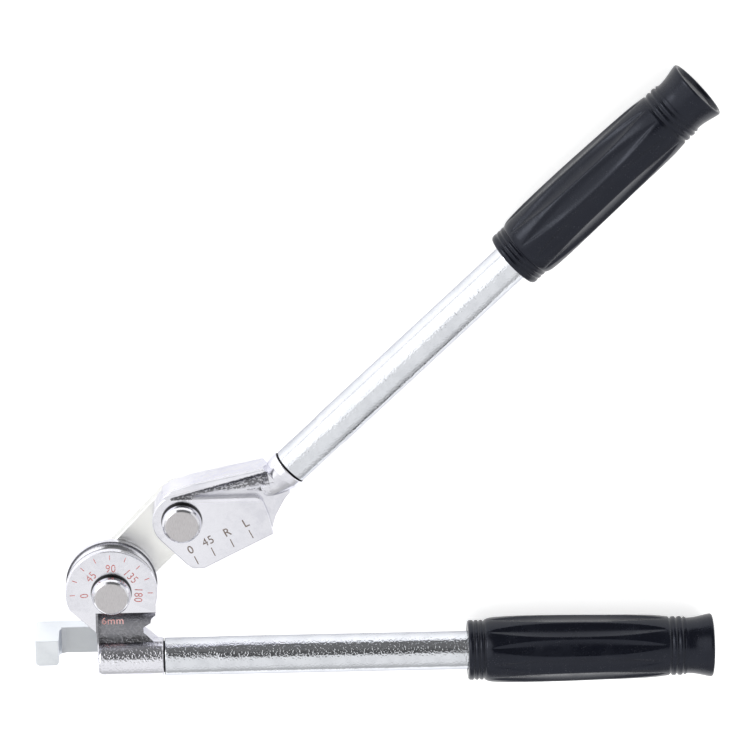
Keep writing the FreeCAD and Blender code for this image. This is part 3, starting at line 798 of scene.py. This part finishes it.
@dataclass
class Handle:
    """One plated handle tube with its moulded grip, along local X from the forging's joint."""

    lever: Lever
    place: Matrix
    joint: float
    tube_radius: float = 7.25 * MM
    tube_bore: float = 5.95 * MM
    bare: float = 115.0 * MM
    hidden: float = 84.0 * MM
    crimp_length: float = 20.0 * MM
    crimp_depth: float = 0.28 * MM
    flute_count: int = 11
    flute_depth: float = 0.85 * MM
    flute_start: float = 7.5 * MM
    flute_end: float = 75.5 * MM
    flare_start: float = 83.0 * MM
    seam_rise: float = 0.05 * MM
    seam_width: float = 0.02

    def build_tube(self) -> bpy.types.Object:
        """Draw the tube with the slightly flattened length that grips the spigot.

        Returns:
            The tube piece.
        """
        start = self.joint + 0.35 * MM
        far = self.joint + self.bare + self.hidden
        outer = [
            (start, self.tube_bore),
            (start, self.tube_radius - 0.45 * MM),
            (start + 0.12 * MM, self.tube_radius - 0.18 * MM),
            (start + 0.4 * MM, self.tube_radius - 0.02 * MM),
            (start + 0.9 * MM, self.tube_radius),
            (start + self.crimp_length + 6.0 * MM, self.tube_radius),
            (far, self.tube_radius),
            (far, self.tube_bore),
        ]
        dense = thicken_profile(outer, 1.0 * MM)
        crimp_end = self.joint + self.crimp_length

        def pressed(along: float, radius: float, angle: float) -> float:
            """Press four soft flats into the spigot length and ease out of them."""
            if radius < self.tube_radius - 0.5 * MM or along > crimp_end + 3.0 * MM:
                return radius
            fade = min(1.0, max(0.0, (crimp_end + 1.4 * MM - along) / (1.4 * MM)))
            fade = fade * fade * (3.0 - 2.0 * fade)
            flats = 0.55 + 0.45 * math.cos(4.0 * angle)
            return radius - self.crimp_depth * fade * flats

        name = f"{self.lever.value}_tube_drawn"
        mesh = lathe(name, dense, 96, self.place, pressed)
        return mesh_object(name, mesh, DRAWN_TUBE.build())

    def grip_profile(self) -> list[Point]:
        """Lay out the grip from its bore, over its front rings and swell, to its flared end."""
        start = self.joint + self.bare
        bore = 7.32 * MM
        front = [(0.0, 10.5), (0.15, 11.0), (0.6, 11.35)]
        for place in (2.4, 4.2, 6.0):
            front += [(place - 0.75, 11.45), (place - 0.35, 11.3), (place, 10.75),
                      (place + 0.35, 11.3)]
        front += [(7.0, 11.7)]
        swell = smooth_profile(
            [(7.0, 11.7), (9.0, 12.2), (14.0, 12.5), (20.0, 12.65), (30.0, 12.7), (40.0, 12.6),
             (50.0, 12.4), (60.0, 12.2), (70.0, 11.85), (75.4, 11.3)], 0.6)
        rear: list[Point] = []
        for place in (76.9, 79.3, 81.7):
            rear += [(place - 0.95, 11.25), (place - 0.55, 11.1), (place, 10.3),
                     (place + 0.55, 11.1)]
        flare = smooth_profile(
            [(83.2, 10.55), (84.6, 10.6), (86.4, 10.8), (88.4, 11.2), (90.4, 11.65),
             (91.9, 11.95), (92.6, 11.9), (92.95, 11.5), (93.0, 11.0)], 0.3)
        closing = [(92.9, 10.6), (92.5, 10.35), (91.7, 10.15), (91.5, 9.8), (91.45, 4.0),
                   (91.45, 0.0)]
        outside = front[:-1] + swell + rear + flare + closing
        scaled = [(start + along * MM, radius * MM) for along, radius in outside]
        inside = start + self.hidden + 1.0 * MM
        return [(inside, 0.0), (inside, bore), (start, bore), *scaled]

    def build_grip(self) -> bpy.types.Object:
        """Mould the grip with its long lens-shaped flutes and parting line.

        Returns:
            The grip piece.
        """
        start = self.joint + self.bare
        middle = start + (self.flute_start + self.flute_end) / 2.0
        half = (self.flute_end - self.flute_start) / 2.0
        pitch = 2.0 * math.pi / self.flute_count

        def fluted(along: float, radius: float, angle: float) -> float:
            """Sink each flute, deepest along its middle, and raise the parting line."""
            if radius < 10.0 * MM or along > start + self.flare_start:
                return radius
            run = (along - middle) / half
            seam = min(abs(angle - math.pi / 2.0), abs(angle - 1.5 * math.pi))
            ridge = self.seam_rise * math.exp(-((seam / self.seam_width) ** 2))
            if abs(run) >= 1.0:
                return radius + ridge
            across = ((angle / pitch + 0.5) % 1.0 - 0.5) * pitch
            lens = 0.46 * pitch * (1.0 - abs(run) ** 2.6)
            dish = max(0.0, 1.0 - (across / max(lens, 1e-6)) ** 2)
            return radius - self.flute_depth * dish * (1.0 - run ** 6) + ridge

        name = f"{self.lever.value}_grip_moulded"
        mesh = lathe(name, self.grip_profile(), 192, self.place, fluted)
        return mesh_object(name, mesh, VINYL.build())

    def dress(self, body: str) -> None:
        """Build both pieces and put them on their moving body.

        Args:
            body: the name of the body they ride on.
        """
        for piece, node, finish in (
            (self.build_tube(), f"{self.lever.value}_tube", "plated_tube"),
            (self.build_grip(), f"{self.lever.value}_grip", "grip_vinyl"),
        ):
            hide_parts(node)
            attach(piece, body)
            LOG.info("%s: %d faces", piece.name, len(piece.data.polygons))


@dataclass
class Mark:
    """One number, letter or tick, by its middle, turn and height."""

    text: str
    across: float
    up: float
    turn: float
    height: float
    width: float = 0.9
    bold: float = 0.0


@dataclass
class MarkRow:
    """A set of marks cut or painted on one surface, joined into one piece."""

    name: str
    surface: Surface
    place: Matrix
    finish: PaintFinish
    marks: list[Mark] = field(default_factory=list)
    ticks: list[tuple[Point, Point, float]] = field(default_factory=list)
    proud: float = 0.05 * MM
    sunk: float = 0.10 * MM

    def lift(self, across: float, up: float) -> float:
        """Give the surface's height under a point.

        Args:
            across: the point's first coordinate on the surface.
            up: its second coordinate.

        Returns:
            The height along Z.
        """
        if self.surface is not Surface.SCOOP:
            return FACE_HEIGHT
        return SCOOP_HIGH - math.sqrt(SCOOP_RADIUS ** 2 - (up - SCOOP_UP) ** 2)

    def add_glyphs(self, form: bmesh.types.BMesh, mark: Mark) -> None:
        """Add one mark's letters as thin raised shapes.

        Args:
            form: the mesh being filled.
            mark: the mark to add.
        """
        curve = bpy.data.curves.new("glyphs", "FONT")
        curve.body = mark.text
        curve.align_x = "CENTER"
        curve.align_y = "CENTER"
        curve.size = 1.0
        curve.space_character = 1.08
        curve.offset = mark.bold
        curve.extrude = 0.5
        curve.resolution_u = 5
        holder = bpy.data.objects.new("glyphs", curve)
        bpy.context.scene.collection.objects.link(holder)
        bpy.context.view_layer.update()
        ready = holder.evaluated_get(bpy.context.evaluated_depsgraph_get())
        mesh = bpy.data.meshes.new_from_object(ready)
        top = max(corner.co.y for corner in mesh.vertices)
        foot = min(corner.co.y for corner in mesh.vertices)
        middle = (top + foot) / 2.0
        scale = mark.height / (top - foot)
        cos, sin = math.cos(mark.turn), math.sin(mark.turn)
        for corner in mesh.vertices:
            across = corner.co.x * scale * mark.width
            up = (corner.co.y - middle) * scale
            x = mark.across + across * cos - up * sin
            y = mark.up + across * sin + up * cos
            high = self.lift(x, y) + (self.proud if corner.co.z > 0.0 else -self.sunk)
            corner.co = (x, y, high)
        form.from_mesh(mesh)
        bpy.data.objects.remove(holder)
        bpy.data.curves.remove(curve)
        bpy.data.meshes.remove(mesh)

    def add_tick(self, form: bmesh.types.BMesh, start: Point, end: Point, wide: float) -> None:
        """Add one straight tick with rounded ends.

        Args:
            form: the mesh being filled.
            start: one end of its middle line.
            end: the other end.
            wide: its width.
        """
        run = (Vector(end) - Vector(start)).normalized()
        side = Vector((-run.y, run.x)) * (wide / 2.0)
        outline = [Vector(start) - side, Vector(start) - run * (wide / 2.6), Vector(start) + side,
                   Vector(end) + side, Vector(end) + run * (wide / 2.6), Vector(end) - side]
        low = [form.verts.new((p.x, p.y, self.lift(p.x, p.y) - self.sunk)) for p in outline]
        top = [form.verts.new((p.x, p.y, self.lift(p.x, p.y) + self.proud)) for p in outline]
        form.faces.new(top)
        form.faces.new(list(reversed(low)))
        for index in range(len(outline)):
            after = (index + 1) % len(outline)
            form.faces.new((low[index], low[after], top[after], top[index]))

    def dress(self, body: str, finish_slot: str) -> None:
        """Build the row and put it on its moving body.

        Args:
            body: the name of the body it rides on.
            finish_slot: not used.
        """
        form = bmesh.new()
        for mark in self.marks:
            self.add_glyphs(form, mark)
        for start, end, wide in self.ticks:
            self.add_tick(form, start, end, wide)
        bmesh.ops.recalc_face_normals(form, faces=form.faces)
        form.transform(self.place)
        mesh = bpy.data.meshes.new(self.name)
        form.to_mesh(mesh)
        form.free()
        piece = mesh_object(self.name, mesh, self.finish.build(), smooth=False)
        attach(piece, body)
        LOG.info("%s: %d marks, %d ticks", self.name, len(self.marks), len(self.ticks))


@dataclass
class Dial:
    """The angle dial on the form wheel's face: numbers every 45 degrees, ticks between."""

    number_radius: float = 10.2 * MM
    tick_inner: float = 13.7 * MM
    tick_outer: float = 15.5 * MM
    number_height: float = 3.1 * MM
    tick_count: int = 9

    def row(self) -> MarkRow:
        """Lay the numbers round the face with their heads outward.

        Returns:
            The row of marks.
        """
        marks = []
        numbers = ((184.0, "0"), (137.0, "45"), (90.0, "90"), (43.0, "135"), (-4.0, "180"))
        for degrees, text in numbers:
            angle = math.radians(degrees)
            marks.append(Mark(text, self.number_radius * math.cos(angle),
                              self.number_radius * math.sin(angle), angle - math.pi / 2.0,
                              self.number_height, 0.85, -0.004))
        ticks = []
        for step in range(self.tick_count):
            angle = math.radians(182.0 - step * 22.75)
            outward = Vector((math.cos(angle), math.sin(angle)))
            ticks.append((tuple(outward * self.tick_inner), tuple(outward * self.tick_outer),
                          0.30 * MM))
        return MarkRow("dial_numbers", Surface.DIAL_FACE, Matrix.Identity(4), RED_PAINT, marks,
                       ticks)


@dataclass
class ShoeScale:
    """The four alignment marks along the shoe's working edge."""

    place: Matrix
    height: float = 3.25 * MM

    def row(self) -> MarkRow:
        """Lay 0, 45, R and L with a tick under each, square to the working edge.

        Returns:
            The row of marks.
        """
        tilt = math.radians(-16.7)
        layout = (("0", (-5.7, -10.2), (-6.6, -13.2), (-7.7, -16.4)),
                  ("45", (1.4, -12.3), (0.3, -15.2), (-0.9, -18.5)),
                  ("R", (8.9, -14.8), (7.7, -17.8), (6.6, -20.9)),
                  ("L", (16.4, -17.1), (15.2, -20.1), (14.2, -23.4)))
        marks = [Mark(text, spot[0] * MM, spot[1] * MM, tilt, self.height, 0.95,
                      0.0 if text == "45" else 0.008)
                 for text, spot, _, _ in layout]
        ticks = [((top[0] * MM, top[1] * MM), (low[0] * MM, low[1] * MM), 0.38 * MM)
                 for _, _, top, low in layout]
        return MarkRow("shoe_marks", Surface.SHOE_FACE, self.place, DARK_ETCH, marks, ticks)


@dataclass
class Studio:
    """A plain pale floor, soft lights and the camera."""

    floor_level: float
    aim: Vector = field(default_factory=lambda: Vector((0.09956, 0.08319, 0.0)))
    tilt: float = math.radians(20.75)
    swing: float = math.radians(-1.95)
    roll: float = math.radians(1.10)
    distance: float = 1.6357
    lens: float = 212.25
    sky: float = 0.90
    low_sky: float = 0.55
    backdrop: float = 0.93
    dark_flags: tuple[tuple[float, float, float], ...] = ((49.0, 40.0, 0.17), (27.0, 15.0, 0.10))
    bright_panels: tuple[tuple[Place, float, float], ...] = (
        ((-0.70, 0.36, 0.62), 33.0, 1.35), ((-0.76, 0.47, 0.44), 9.0, 4.5))
    panel_edge: float = 3.0
    floor_glow: float = 0.62
    lamp_size: float = 0.6

    def add_floor(self) -> None:
        """Lay a wide pale floor with a faint grain, just under the tool."""
        form = bmesh.new()
        bmesh.ops.create_grid(form, x_segments=8, y_segments=8, size=3.0)
        mesh = bpy.data.meshes.new("floor")
        form.to_mesh(mesh)
        form.free()
        material, graph, shader = start_material("floor_paper")
        graph.feed(shader, "Base Color", graph.blend(
            graph.noise(40.0, 2.0), (0.78, 0.78, 0.78), (0.80, 0.80, 0.80)))
        shader.inputs["Roughness"].default_value = 0.9
        shader.inputs["Emission Color"].default_value = (1.0, 1.0, 1.0, 1.0)
        seen = graph.add("ShaderNodeLightPath").outputs["Is Camera Ray"]
        graph.feed(shader, "Emission Strength", graph.ramp(
            seen, 0.0, 1.0, self.floor_glow * 0.8, self.floor_glow))
        floor = mesh_object("floor", mesh, material, smooth=False)
        floor.location = (0.1, 0.05, self.floor_level - 0.0002)
        floor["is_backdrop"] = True

    def add_area(self, name: str, spot: Vector, watts: float) -> None:
        """Hang one soft white light that faces the tool.

        Args:
            name: the light's name.
            spot: where it hangs.
            watts: its power.
        """
        light = bpy.data.lights.new(name, "AREA")
        light.shape = "RECTANGLE"
        light.size = light.size_y = self.lamp_size
        light.energy = watts
        lamp = bpy.data.objects.new(name, light)
        bpy.context.scene.collection.objects.link(lamp)
        lamp.location = spot
        lamp.visible_glossy = False
        lamp.rotation_euler = (self.aim - spot).to_track_quat("-Z", "Y").to_euler()

    def add_sky(self) -> None:
        """Surround the tool with a pale room of dark flags and bright panels, plain to the eye."""
        world = bpy.data.worlds.new("studio")
        world.use_nodes = True
        world.node_tree.nodes.clear()
        graph = Graph(world.node_tree)
        way = graph.add("ShaderNodeTexCoord").outputs["Generated"]
        split = graph.add("ShaderNodeSeparateXYZ", Vector=way)
        lean = graph.maths("ARCTAN2", split.outputs[1], split.outputs[2])
        low = graph.ramp(lean, math.radians(-74.0), math.radians(-46.0), 1.0, 0.0)
        tone = graph.blend(low, (self.sky,) * 3, (self.low_sky,) * 3)
        spots = [((0.0, math.sin(math.radians(turn)), math.cos(math.radians(turn))), reach, shade)
                 for turn, reach, shade in self.dark_flags]
        spots += [(Vector(middle).normalized(), reach, shade)
                  for middle, reach, shade in self.bright_panels]
        for middle, reach, shade in spots:
            facing = graph.add("ShaderNodeVectorMath", {"operation": "DOT_PRODUCT"})
            graph.feed(facing, "0", way)
            graph.feed(facing, "1", middle)
            patch = graph.ramp(facing.outputs["Value"],
                               math.cos(math.radians(reach + self.panel_edge)),
                               math.cos(math.radians(reach - self.panel_edge)))
            tone = graph.blend(patch, tone, (shade,) * 3)
        seen = graph.add("ShaderNodeLightPath").outputs["Is Camera Ray"]
        plain = graph.blend(seen, tone, (self.backdrop,) * 3)
        back = graph.add("ShaderNodeBackground", Color=plain, Strength=1.0)
        graph.add("ShaderNodeOutputWorld", Surface=back.outputs[0])
        bpy.context.scene.world = world

    def add_camera(self) -> None:
        """Set the camera at its working distance with a long lens."""
        back = Vector((math.sin(self.swing), math.cos(self.swing) * math.sin(self.tilt),
                       math.cos(self.swing) * math.cos(self.tilt)))
        up = Vector((0.0, math.cos(self.tilt), -math.sin(self.tilt)))
        right = up.cross(back).normalized()
        up = back.cross(right)
        cos, sin = math.cos(self.roll), math.sin(self.roll)
        across = right * cos - up * sin
        above = right * sin + up * cos
        data = bpy.data.cameras.new("camera")
        data.lens = self.lens
        data.sensor_width = 36.0
        data.clip_end = 20.0
        camera = bpy.data.objects.new("camera", data)
        bpy.context.scene.collection.objects.link(camera)
        spot = self.aim + back * self.distance
        turn = Matrix((across, above, back)).transposed().to_4x4()
        camera.matrix_world = Matrix.Translation(spot) @ turn
        bpy.context.scene.camera = camera

    def build(self) -> None:
        """Put the whole studio together."""
        self.add_floor()
        self.add_sky()
        self.add_area("key", Vector((-0.9, -1.2, 0.8)), 9.0)
        self.add_area("side", Vector((1.4, -0.7, 0.8)), 6.0)
        self.add_camera()
        view = bpy.context.scene.view_settings
        view.view_transform = "Standard"
        view.look = "None"
        view.exposure = 0.0


@dataclass
class Metalwork:
    """The solid metal pieces that keep their machined shape and get their finish here."""

    nodes: dict[str, bpy.types.Object]
    finishes: dict[str, PlateFinish | PinFinish] = field(default_factory=lambda: {
        "form_head": FORGING, "shoe_head": FORGING, "link_bar": LINK_SATIN, "latch": LATCH_SATIN,
        "main_pin": PIN, "shoe_pin": PIN, "main_bush": BRONZE, "shoe_bush": BRONZE,
        "main_thrust_washer": HARDWARE, "main_rear_washer": HARDWARE,
        "main_retaining_ring": HARDWARE, "shoe_thrust_washer": HARDWARE,
        "shoe_rear_washer": HARDWARE, "shoe_retaining_ring": HARDWARE, "latch_pin": HARDWARE,
        "latch_spring_washer": HARDWARE})

    def dress(self) -> None:
        """Give every kept node its finish."""
        made: dict[str, bpy.types.Material] = {}
        for name, finish in self.finishes.items():
            if finish.name not in made:
                made[finish.name] = finish.build()
            for part in self.nodes[name].material_slots:
                part.material = made[finish.name]
            LOG.info("%s: %s", name, finish.name)


def main() -> None:
    """Build the tool's looks and the studio round it."""
    logging.basicConfig(level=logging.INFO, format="%(name)s %(message)s")
    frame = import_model()
    low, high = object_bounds()
    joints = {joint["name"]: joint for joint in frame["joints"]}
    shoe_pivot = Matrix.Translation(Vector(joints["shoe_hinge"]["pos_m"]))
    shoe_place = shoe_pivot @ Matrix.Rotation(SHOE_TURN, 4, "Z")

    Metalwork(frame["nodes"]).dress()
    form_axis = Matrix.Translation(Vector((0.0, HANDLE_DROP, 0.0)))
    Handle(Lever.FORM, form_axis, FORM_JOINT).dress("form")
    shoe_axis = shoe_place @ Matrix.Translation(Vector((0.0, SHOE_OFFSET, 0.0)))
    Handle(Lever.SHOE, shoe_axis, SHOE_JOINT).dress("shoe_lever")
    Dial().row().dress("form", "plated_forging")
    ShoeScale(shoe_place).row().dress("shoe_lever", "plated_forging")
    size_mark = MarkRow("tube_size_mark", Surface.SCOOP, Matrix.Identity(4), PALE_RED,
                        [Mark("6mm", 0.1 * MM, -13.0 * MM, 0.0, 3.5 * MM, 0.82, 0.006)])
    size_mark.dress("form", "plated_forging")
    Studio(low[2]).build()

    low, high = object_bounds()


if __name__ == "__main__":
    main()
